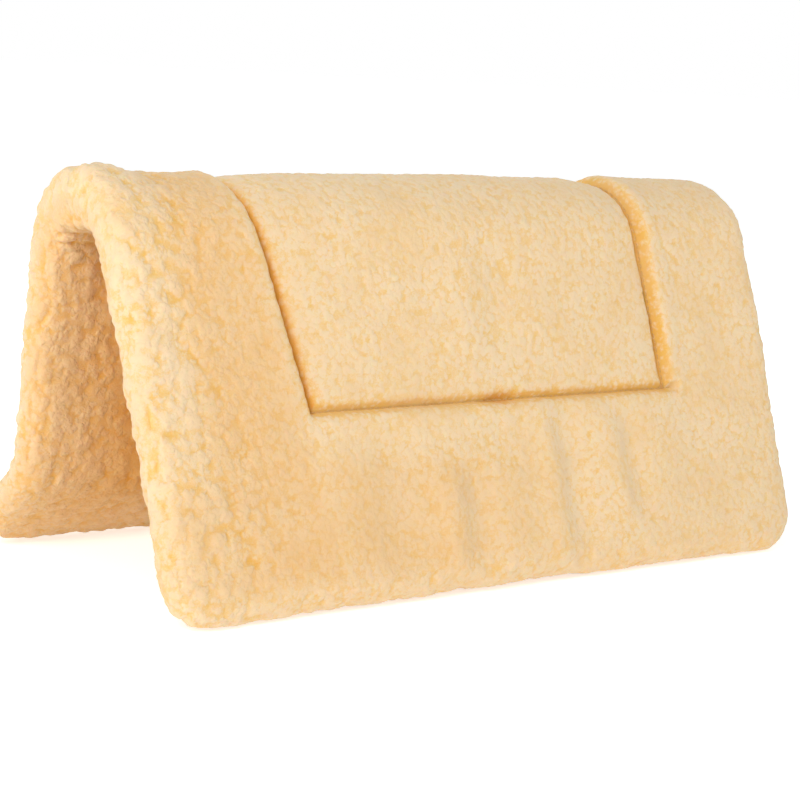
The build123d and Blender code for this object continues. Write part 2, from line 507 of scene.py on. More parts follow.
@dataclass
class SeatBox:
    """The seams sewn through all layers round the saddle's seat.

    Attributes:
        front_x: Front seam where it crosses the crest.
        rear_x: Rear seam where it crosses the crest.
        front_lean: How far the front seam would lean back by the near foot.
        rear_lean: The same for the rear seam.
        lower_girth: Crest line to the lower seam.
        overrun: How far the lower seam runs on past the rear seam.
    """

    drape: Drape
    front_x: float = 238.0 * MM
    rear_x: float = -219.0 * MM
    front_lean: float = -60.0 * MM
    rear_lean: float = -9.0 * MM
    lower_girth: float = 236.0 * MM
    overrun: float = 10.0 * MM

    def front(self, girth: np.ndarray) -> np.ndarray:
        """Place the front seam along the spine.

        Args:
            girth: Signed girths.

        Returns:
            The seam's x at each girth.
        """
        return self.front_x + self.front_lean * self.drape.drop(girth)

    def rear(self, girth: np.ndarray) -> np.ndarray:
        """Place the rear seam along the spine.

        Args:
            girth: Signed girths.

        Returns:
            The seam's x at each girth.
        """
        return self.rear_x + self.rear_lean * self.drape.drop(girth)

    def distances(self, points: np.ndarray) -> tuple[np.ndarray, np.ndarray, np.ndarray]:
        """Measure to each seam, positive outside the seat box and negative inside.

        Args:
            points: Rows of x, girth and height.

        Returns:
            Distances outwards from the front, rear and lower seams.
        """
        x, girth = points[:, 0], points[:, 1]
        return x - self.front(girth), self.rear(girth) - x, np.abs(girth) - self.lower_girth

    def outline_distance(self, points: np.ndarray) -> np.ndarray:
        """Measure to the seat box's outline, positive outside it.

        Args:
            points: Rows of x, girth and height.

        Returns:
            The signed distance of each point.
        """
        front, rear, lower = self.distances(points)
        return np.maximum(np.maximum(front, rear), lower)


@dataclass(frozen=True)
class Wrinkle:
    """A soft fold pushed into a flap by the way it hangs.

    Attributes:
        x: Place along the spine at its upper end.
        girth: Signed girth of its upper end.
        length: How far it runs towards the foot.
        lean: How far it drifts along the spine over that length.
        width: Half width of the valley.
        depth: Depth of the valley. A swell stands beside it.
    """

    x: float
    girth: float
    length: float
    lean: float
    width: float
    depth: float

    def height(self, points: np.ndarray) -> np.ndarray:
        """Work out how much the wrinkle lifts or sinks each place.

        Args:
            points: Rows of x, girth and height.

        Returns:
            Height to add away from the middle of the thickness.
        """
        side = 1.0 if self.girth >= 0.0 else -1.0
        along = (points[:, 1] * side - abs(self.girth)) / self.length
        across = (points[:, 0] - self.x - self.lean * along) / self.width
        ends = smooth_step(along, -0.12, 0.25) * (1.0 - smooth_step(along, 0.7, 1.15))
        valley = np.exp(-across ** 2)
        swell = 0.9 * np.exp(-((across - 1.5) / 1.0) ** 2) + 0.3 * np.exp(-((across + 2.1) / 1.4) ** 2)
        on_side = points[:, 1] * side > 0.0
        return np.where(on_side, self.depth * ends * (swell - valley), 0.0)


NEAR_WRINKLES = (
    Wrinkle(-78 * MM, 243 * MM, 150 * MM, -4 * MM, 19 * MM, 6.0 * MM),
    Wrinkle(42 * MM, 296 * MM, 100 * MM, 0 * MM, 20 * MM, 6.0 * MM),
    Wrinkle(-156 * MM, 255 * MM, 110 * MM, -8 * MM, 17 * MM, 4.5 * MM),
    Wrinkle(125 * MM, 262 * MM, 120 * MM, 14 * MM, 32 * MM, 3.0 * MM),
    Wrinkle(-25 * MM, 80 * MM, 120 * MM, 10 * MM, 24 * MM, 2.6 * MM),
)
OFF_WRINKLES = (
    Wrinkle(120 * MM, -255 * MM, 120 * MM, 8 * MM, 16 * MM, 4.5 * MM),
    Wrinkle(-60 * MM, -262 * MM, 110 * MM, -6 * MM, 15 * MM, 4.5 * MM),
    Wrinkle(-190 * MM, -270 * MM, 90 * MM, 5 * MM, 14 * MM, 3.5 * MM),
)


# ---------------------------------------------------------------- shaping of the fleece and its painted shade


@dataclass(frozen=True)
class SeamShape:
    """How the seams draw the pile down and let it stand proud beside them.

    Attributes:
        depth: How far the pile is drawn down on the seam.
        outer_reach: Half width of the steep bank outside the seat box.
        slope_reach: Reach of the gentle slope inside it, at the front and rear seams.
        low_slope_reach: The same at the lower seams.
        pinch_reach: Reach of the pinch at the seam itself, at the front and rear seams.
        low_pinch_reach: The same at the lower seams.
        slope_share: Part of the depth that the gentle slope takes. The pinch takes the rest.
        low_ease: Part of the depth that the lower seams are short of.
        corner_reach: Over how far the front or rear seam's shape turns into the lower seam's.
        overrun_reach: Half width of the channel where the lower seam runs on.
        bank_height: How far the pile outside the box stands proud.
        bank_gap: From the seam to the top of that bank.
        bank_reach: Half width of that bank.
        dimple_depth: Extra depth where the near lower seam starts and stops.
        slack_depth: Loose swelling of the cover.
        slack_size: Distance between the loose swellings.
    """

    depth: float = 10.5 * MM
    outer_reach: float = 3.4 * MM
    slope_reach: float = 12.0 * MM
    low_slope_reach: float = 5.0 * MM
    pinch_reach: float = 4.0 * MM
    low_pinch_reach: float = 2.8 * MM
    slope_share: float = 0.45
    low_ease: float = 0.2
    corner_reach: float = 15.0 * MM
    overrun_reach: float = 4.0 * MM
    bank_height: float = 3.0 * MM
    bank_gap: float = 9.0 * MM
    bank_reach: float = 14.0 * MM
    dimple_depth: float = 3.0 * MM
    slack_depth: float = 2.2 * MM
    slack_size: float = 95.0 * MM

    def height(self, points: np.ndarray, seat_box: SeatBox) -> np.ndarray:
        """Work out how much the seams lift or sink each place.

        Args:
            points: Rows of x, girth and height.
            seat_box: The seams.

        Returns:
            Height to add away from the middle of the thickness.
        """
        front, rear, lower = seat_box.distances(points)
        box = seat_box.outline_distance(points)
        inside = np.maximum(-box, 0.0)
        outside = np.maximum(box, 0.0)
        low = smooth_step(lower - np.maximum(front, rear), -self.corner_reach, self.corner_reach)
        slope_reach = self.slope_reach + (self.low_slope_reach - self.slope_reach) * low
        pinch_reach = self.pinch_reach + (self.low_pinch_reach - self.pinch_reach) * low
        slope = self.slope_share * np.exp(-inside / slope_reach)
        pinch = (1.0 - self.slope_share) * hill(inside, pinch_reach)
        steep = hill(outside, self.outer_reach)
        channel = np.where(box < 0.0, slope + pinch, steep) * (1.0 - self.low_ease * low)
        past_end = np.maximum(rear - seat_box.overrun, 0.0) + np.maximum(front, 0.0)
        overrun = hill(np.hypot(past_end, lower), self.overrun_reach)
        channel = np.maximum(channel, np.where(rear > 0.0, overrun, 0.0))
        bank = np.where(box > 0.0, hill(outside - self.bank_gap, self.bank_reach), 0.0)
        slack = soft_noise(points * np.array([1.0, 1.0, 0.3]), self.slack_size, 5) * (1.0 - steep)
        height = self.bank_height * bank - self.depth * channel
        return height - self.dimple_depth * self.dimple(points, seat_box) + self.slack_depth * slack

    def dimple(self, points: np.ndarray, seat_box: SeatBox) -> np.ndarray:
        """Find where the near lower seam starts and stops, and its extra stitches pull deeper.

        Args:
            points: Rows of x, girth and height.
            seat_box: The seams.

        Returns:
            1 at the deepest place and 0 well away from it.
        """
        x = points[:, 0] + 8 * MM
        return hill(x, 18 * MM) * hill(points[:, 1] - seat_box.lower_girth, 7 * MM)


@dataclass(frozen=True)
class CrestShape:
    """How the fleece lies over the crest.

    Attributes:
        bunching: Wool crowded together inside the bend.
        bunching_reach: Half width of that crowding.
        hump: Rise of the crest at the front edge.
        hump_top: From the front edge to where the hump starts to fall.
        hump_end: From the front edge to where it has gone.
        hump_girth: Girth of the hump's top.
        hump_reach: Half width of the hump.
        settling: How far the top fleece is pressed down along the rest of the crest.
        settling_reach: Half width of that settling.
    """

    bunching: float = 6.0 * MM
    bunching_reach: float = 55.0 * MM
    hump: float = 6.5 * MM
    hump_top: float = 12.0 * MM
    hump_end: float = 66.0 * MM
    hump_girth: float = -25.0 * MM
    hump_reach: float = 80.0 * MM
    settling: float = 2.0 * MM
    settling_reach: float = 60.0 * MM

    def height(self, points: np.ndarray, half_length: float) -> np.ndarray:
        """Work out how much the crest's own shape lifts or sinks each place.

        Args:
            points: Rows of x, girth and height.
            half_length: Middle of the spine to the front edge.

        Returns:
            Height to add away from the middle of the thickness.
        """
        girth = points[:, 1]
        top_skin = points[:, 2] > 0.0
        bunched = np.where(points[:, 2] < 0.0, hill(girth, self.bunching_reach), 0.0)
        at_front = 1.0 - smooth_step(half_length - points[:, 0], self.hump_top, self.hump_end)
        raised = at_front * hill(girth - self.hump_girth, self.hump_reach)
        settled = np.where(top_skin, hill(girth, self.settling_reach), 0.0) * (1.0 - at_front)
        return self.bunching * bunched + self.hump * raised - self.settling * settled


@dataclass(frozen=True)
class Staining:
    """Where the wool's colour is deeper.

    Painted shade: the colour is made deeper where shade falls. The underside is yellower than the top,
    most of all well inside the hollow under the crest. So is the wool at the bottom of the seams and, a
    little, the front border and the near strip below the seat box.

    Attributes:
        underside_least: Depth of the underside's colour at the edge.
        underside_inside: How much deeper it is away from the edge.
        underside_crest: How much deeper again under the crest.
        front_seam: Depth at the bottom of the front seam.
        other_seams: Depth at the bottom of the others.
        seam_reach: Half width of the seams' colour.
        dimple_share: Depth where the near lower seam starts and stops.
        handling: Depth of the painted shade on the front border and the strips below the seat box.
        strip_share: Part of that on the strips below the seat box.
    """

    underside_least: float = 0.3
    underside_inside: float = 0.6
    underside_crest: float = 0.1
    front_seam: float = 0.95
    other_seams: float = 0.2
    seam_reach: float = 5.0 * MM
    dimple_share: float = 0.7
    handling: float = 0.30
    strip_share: float = 0.7

    def underside(self, points: np.ndarray, edge_gap: np.ndarray) -> np.ndarray:
        """Work out the underside's painted shade, deepest well inside under the crest.

        Args:
            points: Rows of x, girth and height.
            edge_gap: Distance of each point inwards from the edge.

        Returns:
            0 on the top fleece, and up to 1 on the underside.
        """
        # Painted shade: deepest well inside the hollow under the crest, least at the edge.
        under = smooth_step(-points[:, 2], -4 * MM, 12 * MM)
        crest = 1.0 - smooth_step(np.abs(points[:, 1]), 120 * MM, 330 * MM)
        inside = smooth_step(edge_gap, 25 * MM, 150 * MM)
        more = inside * (self.underside_inside + self.underside_crest * crest)
        return under * (self.underside_least + more)

    def seams(self, points: np.ndarray, seat_box: SeatBox) -> np.ndarray:
        """Work out the painted shade at the bottom of the seams.

        Args:
            points: Rows of x, girth and height.
            seat_box: The seams.

        Returns:
            The depth of colour at each place.
        """
        front, rear, lower = seat_box.distances(points)
        strength = np.where(front > np.maximum(rear, lower), self.front_seam, self.other_seams)
        return strength * hill(seat_box.outline_distance(points), self.seam_reach)

    def handled(
        self, points: np.ndarray, edge_gap: np.ndarray, seat_box: SeatBox, half_length: float
    ) -> np.ndarray:
        """Work out the painted shade on the front border and the strips below the seat box.

        Args:
            points: Rows of x, girth and height.
            edge_gap: Distance of each point inwards from the edge.
            seat_box: The seams.
            half_length: Middle of the spine to the front edge.

        Returns:
            The depth of colour at each place.
        """
        front, _, lower = seat_box.distances(points)
        from_front = half_length - points[:, 0]
        # Painted shade: softly darker on the front border and the near strip below the seat box.
        border = smooth_step(from_front, 35 * MM, 80 * MM) * smooth_step(front, 2 * MM, 30 * MM)
        strip = smooth_step(lower, 25 * MM, 70 * MM) * smooth_step(points[:, 0], -120 * MM, 120 * MM)
        most = np.maximum(border, self.strip_share * strip)
        return self.handling * most * smooth_step(edge_gap, 0.0, 40 * MM)


# ---------------------------------------------------------------- finishes


def new_material(name: str) -> tuple[bpy.types.Material, bpy.types.NodeTree, bpy.types.Node]:
    """Start a node material.

    Args:
        name: The material's name.

    Returns:
        The material, its node tree and its Principled shader.
    """
    material = bpy.data.materials.new(name)
    material.use_nodes = True
    tree = material.node_tree
    return material, tree, tree.nodes["Principled BSDF"]


def add_node(tree: bpy.types.NodeTree, kind: str, **values: object) -> bpy.types.Node:
    """Add a node and set its unlinked sockets or properties by name.

    Args:
        tree: The tree to add to.
        kind: The node's type.
        **values: Socket or property names, with _ for a space in a socket's name.

    Returns:
        The new node.
    """
    node = tree.nodes.new(kind)
    for key, value in values.items():
        if hasattr(node, key):
            setattr(node, key, value)
        else:
            node.inputs[key.replace("_", " ")].default_value = value
    return node


def fibre_group() -> bpy.types.NodeTree:
    """Shader group for spun fibre: small clumps, fine crossing hairs and a soft drift of tone.

    Returns:
        The group, made once, with inputs Vector, Clump Scale, Hair Scale and Tone Scale, and outputs
        Clump, Hair and Tone, each from 0 to 1.
    """
    if "spun_fibre" in bpy.data.node_groups:
        return bpy.data.node_groups["spun_fibre"]
    group = bpy.data.node_groups.new("spun_fibre", "ShaderNodeTree")
    group.interface.new_socket("Vector", in_out="INPUT", socket_type="NodeSocketVector")
    for name, default in (("Clump Scale", 230.0), ("Hair Scale", 900.0), ("Tone Scale", 22.0)):
        socket = group.interface.new_socket(name, in_out="INPUT", socket_type="NodeSocketFloat")
        socket.default_value = default
    for name in ("Clump", "Hair", "Tone"):
        group.interface.new_socket(name, in_out="OUTPUT", socket_type="NodeSocketFloat")
    start = group.nodes.new("NodeGroupInput")
    end = group.nodes.new("NodeGroupOutput")
    link = group.links.new
    bend = add_node(group, "ShaderNodeTexNoise", Scale=170.0, Detail=2.0)
    push = add_node(group, "ShaderNodeVectorMath", operation="MULTIPLY_ADD")
    push.inputs[1].default_value = (0.007, 0.007, 0.007)
    clump = add_node(group, "ShaderNodeTexVoronoi", feature="SMOOTH_F1")
    clump.inputs["Smoothness"].default_value = 0.35
    crown = add_node(group, "ShaderNodeMapRange")
    crown.inputs["From Min"].default_value = 0.62
    crown.inputs["From Max"].default_value = 0.12
    hair = add_node(group, "ShaderNodeTexNoise", Detail=2.0, Roughness=0.6)
    tone = add_node(group, "ShaderNodeTexNoise", Detail=3.0, Roughness=0.55)
    link(start.outputs["Vector"], bend.inputs["Vector"])
    link(bend.outputs["Color"], push.inputs[0])
    link(start.outputs["Vector"], push.inputs[2])
    for node, scale in ((clump, "Clump Scale"), (hair, "Hair Scale"), (tone, "Tone Scale")):
        link(push.outputs["Vector"], node.inputs["Vector"])
        link(start.outputs[scale], node.inputs["Scale"])
    link(clump.outputs["Distance"], crown.inputs["Value"])
    link(crown.outputs["Result"], end.inputs["Clump"])
    link(hair.outputs["Fac"], end.inputs["Hair"])
    link(tone.outputs["Fac"], end.inputs["Tone"])
    return group


def math_node(
    tree: bpy.types.NodeTree, operation: str, *values: float | bpy.types.NodeSocket
) -> bpy.types.NodeSocket:
    """Add a maths node.

    Args:
        tree: The tree to add to.
        operation: Which sum to do.
        *values: Numbers, or sockets to link from, in the node's order.

    Returns:
        The node's output.
    """
    node = tree.nodes.new("ShaderNodeMath")
    node.operation = operation
    for socket, value in zip(node.inputs, values):
        if isinstance(value, bpy.types.NodeSocket):
            tree.links.new(value, socket)
        else:
            socket.default_value = value
    return node.outputs[0]


@dataclass(frozen=True)
class FleeceFinish:
    """Cream synthetic sheepskin, with painted shade: yellower down between its curls, in its seams and on
    its underside.

    Attributes:
        name: Name of the material.
        crown: Colour of the locks' crowns.
        crease: Colour between the locks, painted shade.
        tone: Colour of the slow drift.
        under_tint: What the colour is multiplied by where the deep field paints shade.
        roughness: Roughness of the wool.
        sheen: Strength of its soft sheen.
        clump_scale: Small clumps per metre.
        hair_scale: Hairs per metre.
        tone_scale: Drifts of tone per metre.
        crease_level: Lock field at which the colour is all crease.
        crown_level: Lock field at which the colour is all crown.
        tone_from: Tone field at which the drift's colour starts to show.
        tone_to: Tone field at which it shows most.
        tone_most: How much it shows there.
        clump_contrast: How much the small clumps change the colour, painting shade between them.
        hair_contrast: How much the hairs do.
        glow: Share of the light that passes through the wool.
        glow_reach: How far that light spreads.
        clump_bump: Height of the small clumps.
        hair_bump: Height of the hairs.
    """

    name: str = "cream_fleece"
    crown: Colour = (0.85, 0.65, 0.41, 1.0)
    crease: Colour = (0.83, 0.50, 0.12, 1.0)
    tone: Colour = (0.82, 0.56, 0.28, 1.0)
    under_tint: Colour = (0.88, 0.57, 0.155, 1.0)
    roughness: float = 0.95
    sheen: float = 0.3
    clump_scale: float = 170.0
    hair_scale: float = 700.0
    tone_scale: float = 20.0
    crease_level: float = 0.1
    crown_level: float = 0.52
    tone_from: float = 0.40
    tone_to: float = 0.70
    tone_most: float = 0.5
    clump_contrast: float = 0.42
    hair_contrast: float = 0.6
    glow: float = 0.35
    glow_reach: float = 0.006
    clump_bump: float = 0.0008
    hair_bump: float = 0.0003

    def build(self) -> bpy.types.Material:
        """Build the material.

        Returns:
            A material that reads the lock, open and deep attributes written on the fleece.
        """
        material, tree, shader = new_material(self.name)
        link = tree.links.new
        place = add_node(tree, "ShaderNodeTexCoord")
        fibre = add_node(tree, "ShaderNodeGroup", node_tree=fibre_group())
        fibre.inputs["Clump Scale"].default_value = self.clump_scale
        fibre.inputs["Hair Scale"].default_value = self.hair_scale
        fibre.inputs["Tone Scale"].default_value = self.tone_scale
        link(place.outputs["Object"], fibre.inputs["Vector"])
        lock, openness, deep = (
            add_node(tree, "ShaderNodeAttribute", attribute_name=name).outputs["Fac"]
            for name in ("lock", "open", "deep")
        )
        # Painted shade: the colour goes to the crease colour where the lock field, the small clumps and
        # the hairs sink.
        clumps = math_node(tree, "SUBTRACT", fibre.outputs["Clump"], 0.55)
        raised = math_node(tree, "MULTIPLY_ADD", clumps, self.clump_contrast, lock)
        hairs = math_node(tree, "SUBTRACT", fibre.outputs["Hair"], 0.5)
        raised = math_node(tree, "MULTIPLY_ADD", hairs, self.hair_contrast, raised)
        lift = add_node(tree, "ShaderNodeMapRange")
        lift.inputs["From Min"].default_value = self.crease_level
        lift.inputs["From Max"].default_value = self.crown_level
        link(raised, lift.inputs["Value"])
        body = add_node(tree, "ShaderNodeMix", data_type="RGBA")
        body.inputs["A"].default_value = self.crease
        body.inputs["B"].default_value = self.crown
        link(lift.outputs["Result"], body.inputs["Factor"])
        drift = add_node(tree, "ShaderNodeMapRange")
        drift.inputs["From Min"].default_value = self.tone_from
        drift.inputs["From Max"].default_value = self.tone_to
        drift.inputs["To Max"].default_value = self.tone_most
        link(fibre.outputs["Tone"], drift.inputs["Value"])
        colour = add_node(tree, "ShaderNodeMix", data_type="RGBA")
        colour.inputs["B"].default_value = self.tone
        link(drift.outputs["Result"], colour.inputs["Factor"])
        link(body.outputs["Result"], colour.inputs["A"])
        # Painted shade: the deep field multiplies the colour by under_tint.
        shaded = add_node(tree, "ShaderNodeMix", data_type="RGBA", blend_type="MULTIPLY")
        shaded.inputs["B"].default_value = self.under_tint
        link(deep, shaded.inputs["Factor"])
        link(colour.outputs["Result"], shaded.inputs["A"])
        link(shaded.outputs["Result"], shader.inputs["Base Color"])
        rough = add_node(tree, "ShaderNodeBump", Distance=self.clump_bump)
        link(fibre.outputs["Clump"], rough.inputs["Height"])
        link(math_node(tree, "MULTIPLY_ADD", openness, 0.55, 0.4), rough.inputs["Strength"])
        fine = add_node(tree, "ShaderNodeBump", Strength=0.8, Distance=self.hair_bump)
        link(fibre.outputs["Hair"], fine.inputs["Height"])
        link(rough.outputs["Normal"], fine.inputs["Normal"])
        link(fine.outputs["Normal"], shader.inputs["Normal"])
        shader.inputs["Roughness"].default_value = self.roughness
        shader.inputs["Sheen Weight"].default_value = self.sheen
        shader.inputs["Sheen Roughness"].default_value = 0.5
        shader.inputs["Sheen Tint"].default_value = (1.0, 0.93, 0.80, 1.0)
        shader.inputs["Specular IOR Level"].default_value = 0.2
        shader.inputs["Subsurface Weight"].default_value = self.glow
        shader.inputs["Subsurface Scale"].default_value = self.glow_reach
        shader.inputs["Subsurface Radius"].default_value = (1.0, 0.55, 0.22)
        return material


@dataclass(frozen=True)
class ThreadFinish:
    """Twisted polyester thread, with painted shade between its strands.

    Attributes:
        name: Name of the material.
        strand: Colour of the strands.
        between: Colour between them, painted shade.
        twist_scale: Twists per metre.
    """

    name: str = "seam_thread"
    strand: Colour = (0.80, 0.50, 0.18, 1.0)
    between: Colour = (0.60, 0.32, 0.08, 1.0)
    twist_scale: float = 900.0

    def build(self) -> bpy.types.Material:
        """Build the material.

        Returns:
            A material with a slanting twist and fibre relief.
        """
        material, tree, shader = new_material(self.name)
        link = tree.links.new
        place = add_node(tree, "ShaderNodeTexCoord")
        wave = add_node(tree, "ShaderNodeTexWave", bands_direction="DIAGONAL", Scale=self.twist_scale)
        wave.inputs["Distortion"].default_value = 1.5
        link(place.outputs["Object"], wave.inputs["Vector"])
        fibre = add_node(tree, "ShaderNodeGroup", node_tree=fibre_group())
        fibre.inputs["Hair Scale"].default_value = self.twist_scale
        link(place.outputs["Object"], fibre.inputs["Vector"])
        # Painted shade: diagonal bands of darker colour between the strands.
        colour = add_node(tree, "ShaderNodeMix", data_type="RGBA")
        colour.inputs["A"].default_value = self.between
        colour.inputs["B"].default_value = self.strand
        link(wave.outputs["Fac"], colour.inputs["Factor"])
        link(colour.outputs["Result"], shader.inputs["Base Color"])
        bump = add_node(tree, "ShaderNodeBump", Strength=0.6, Distance=0.0004)
        link(fibre.outputs["Hair"], bump.inputs["Height"])
        link(bump.outputs["Normal"], shader.inputs["Normal"])
        shader.inputs["Roughness"].default_value = 0.6
        shader.inputs["Sheen Weight"].default_value = 0.2
        return material


@dataclass(frozen=True)
class FoamFinish:
    """Open-cell foam: a fine pitted face with slow yellowing.

    Attributes:
        name: Name of the material.
        fresh: Colour of the foam where it is new.
        aged: Colour where it has yellowed.
        cell_scale: Cells per metre.
    """

    name: str = "core_foam"
    fresh: Colour = (0.82, 0.74, 0.50, 1.0)
    aged: Colour = (0.72, 0.56, 0.28, 1.0)
    cell_scale: float = 520.0

    def build(self) -> bpy.types.Material:
        """Build the material.

        Returns:
            A material with open cells in its relief.
        """
        material, tree, shader = new_material(self.name)
        link = tree.links.new
        place = add_node(tree, "ShaderNodeTexCoord")
        cells = add_node(tree, "ShaderNodeTexVoronoi", Scale=self.cell_scale)
        age = add_node(tree, "ShaderNodeTexNoise", Scale=9.0, Detail=4.0)
        for node in (cells, age):
            link(place.outputs["Object"], node.inputs["Vector"])
        colour = add_node(tree, "ShaderNodeMix", data_type="RGBA")
        colour.inputs["A"].default_value = self.fresh
        colour.inputs["B"].default_value = self.aged
        link(age.outputs["Fac"], colour.inputs["Factor"])
        link(colour.outputs["Result"], shader.inputs["Base Color"])
        bump = add_node(tree, "ShaderNodeBump", Strength=0.8, Distance=0.0012)
        link(cells.outputs["Distance"], bump.inputs["Height"])
        link(bump.outputs["Normal"], shader.inputs["Normal"])
        shader.inputs["Roughness"].default_value = 0.9
        return material


# ---------------------------------------------------------------- the fleece cover


@dataclass
class FleeceCover:
    """Top and underside fleece, sewn together round the edge and through the seat box.

    Attributes:
        drape: The spine and flaps to lay it over.
        seat_box: The seams through it.
        pile: Its wool.
        corner_radius: Rounding of the outline's corners.
        start_half_thickness: Half thickness of the blank before it is filled.
        start_inset: How far the blank's outline lies inside the pattern's.
        voxel: Size of the blank's faces.
        pressure: Pressure of the filling.
        filling_frames: Steps of the filling.
        held_share: How near a seam the cloth is held, as a share of the face size.
        swell_limit: The most that the filling may push the cloth out.
        slope_width: Width of a slope beside a seam; not used.
        rim_height: The rim's middle, below this height, keeps its shape when the cover is sewn.
        face_height: Above this height the cover is shaped in full.
        wander_size: Spacing of the outline's unevenness.
        wander_reach: How far in from the edge that unevenness goes.
        wander_along: Its depth along the spine.
        wander_across: Its depth across the spine.
        rest_height: Height of the lowest wool over the ground.
        rest_softness: Depth of wool that is pressed flat there.
        crest_cut: Girth at which the cover is split.
        channel_reach: Half width of the wool that the seams press down.
        seam_shape: How the seams draw the pile down.
        crest_shape: How the fleece lies over the crest.
        staining: Where the wool's colour is made deeper, as painted shade.
        material: The finish.
    """

    drape: Drape
    seat_box: SeatBox
    pile: Pile
    corner_radius: float = 45.0 * MM
    start_half_thickness: float = 16.5 * MM
    start_inset: float = -4.0 * MM
    voxel: float = 5.5 * MM
    pressure: float = 1.5
    filling_frames: int = 20
    held_share: float = 0.7
    swell_limit: float = 5.3 * MM
    slope_width: float = 18.0 * MM
    rim_height: float = 2.0 * MM
    face_height: float = 12.0 * MM
    wander_size: float = 130.0 * MM
    wander_reach: float = 60.0 * MM
    wander_along: float = 1.8 * MM
    wander_across: float = 1.5 * MM
    rest_height: float = 0.4 * MM
    rest_softness: float = 5.0 * MM
    crest_cut: float = 0.37 * MM
    channel_reach: float = 6.0 * MM
    seam_shape: SeamShape = field(default_factory=SeamShape)
    crest_shape: CrestShape = field(default_factory=CrestShape)
    staining: Staining = field(default_factory=Staining)
    material: bpy.types.Material = field(default_factory=lambda: FleeceFinish().build())

    def build(self) -> dict[Side, bpy.types.Object]:
        """Make the whole cover flat, then split it at the crest and lay it over the spine.

        Returns:
            One closed piece for each side.
        """
        cover = self.flat_blank()
        self.fill(cover)
        self.trim_to_pattern(cover)
        self.refine(cover)
        self.sew(cover)
        self.raise_pile(cover)
        halves = self.split_at_crest(cover)
        for half in halves.values():
            placed = self.drape.place(mesh_points(half.data))
            placed[:, 2] = self.rest_on_ground(placed[:, 2])
            set_mesh_points(half.data, placed)
        self.join_shading(halves)
        for side, half in halves.items():
            self.dress(half, side)
        return halves

    def flat_blank(self) -> bpy.types.Object:
        """Make the sewn blank: a rounded slab with rolled edges, remeshed evenly.

        Returns:
            The blank, in bench coordinates.
        """
        deselect_all()
        bpy.ops.mesh.primitive_cube_add(size=1.0, location=(0.0, 0.0, 0.0))
        blank = bpy.context.object
        blank.name = "fleece_blank"
        length = 2 * (self.drape.half_length - self.start_inset)
        girth = 2 * (self.drape.half_girth - self.start_inset)
        blank.scale = (length, girth, 2 * self.start_half_thickness)
        bpy.ops.object.transform_apply(location=False, rotation=False, scale=True)
        self.bevel_edges(blank, self.is_upright, self.corner_radius, 8)
        remesh = blank.modifiers.new("even_mesh", "REMESH")
        remesh.mode = "VOXEL"
        remesh.voxel_size = self.voxel
        apply_modifier(blank, "even_mesh")
        set_mesh_points(blank.data, self.round_rim(mesh_points(blank.data)))
        return blank

    def round_rim(self, points: np.ndarray) -> np.ndarray:
        """Roll the square rim of the blank into a half circle.

        Args:
            points: The square blank's points.

        Returns:
            The points with each one near the edge moved onto the half circle.
        """
        radius = self.start_half_thickness
        size = np.abs(points[:, :2])
        outline = np.array([self.drape.half_length, self.drape.half_girth]) - self.start_inset
        middle = outline - self.corner_radius
        past = size - middle
        in_corner = (past > 0.0).all(axis=1)
        straight = np.where((past[:, :1] > past[:, 1:]), [[1.0, 0.0]], [[0.0, 1.0]])
        turned = past / np.maximum(np.linalg.norm(past, axis=1, keepdims=True), TINY)
        outwards = np.where(in_corner[:, None], turned, straight)
        reach = np.where(in_corner, np.linalg.norm(past, axis=1), past.max(axis=1))
        out = np.maximum(reach - (self.corner_radius - radius), 0.0)
        height = np.abs(points[:, 2])
        shrink = np.maximum(out, height) / np.maximum(np.hypot(out, height), TINY)
        shrink = np.where(out > 0.0, shrink, 1.0)
        rounded = points.copy()
        rounded[:, :2] += np.sign(points[:, :2]) * outwards * (out * (shrink - 1.0))[:, None]
        rounded[:, 2] *= shrink
        return rounded

    @staticmethod
    def is_upright(start: Vector, end: Vector) -> bool:
        """Test for an edge through the thickness.

        Args:
            start: One end of the edge.
            end: The other end.

        Returns:
            True if the edge stands upright on the bench.
        """
        return abs(start.z - end.z) > 0.9 * (start - end).length

    @staticmethod
    def bevel_edges(
        piece: bpy.types.Object, wanted: EdgeTest, width: float, segments: int
    ) -> None:
        """Bevel the edges that a test picks out.

        Args:
            piece: The mesh object to change.
            wanted: Test on an edge's two end points.
            width: Size of the bevel.
            segments: Steps round the bevel.
        """
        make_active(piece)
        bpy.ops.object.mode_set(mode="EDIT")
        bpy.ops.mesh.select_mode(type="EDGE")
        bpy.ops.mesh.select_all(action="DESELECT")
        bpy.ops.object.mode_set(mode="OBJECT")
        mesh = piece.data
        for edge in mesh.edges:
            start, end = (mesh.vertices[index].co for index in edge.vertices)
            edge.select = wanted(start, end)
        bpy.ops.object.mode_set(mode="EDIT")
        bpy.ops.mesh.bevel(offset=width, segments=segments, affect="EDGES")
        bpy.ops.object.mode_set(mode="OBJECT")

    def rest_on_ground(self, heights: np.ndarray) -> np.ndarray:
        """Press the wool of the feet flat where the pad stands on it.

        Args:
            heights: Z of the draped points.

        Returns:
            The heights, none of them below the ground.
        """
        soft = self.rest_softness
        pressed = self.rest_height + soft * np.exp((heights - self.rest_height - soft) / soft)
        return np.where(heights < self.rest_height + soft, pressed, heights)

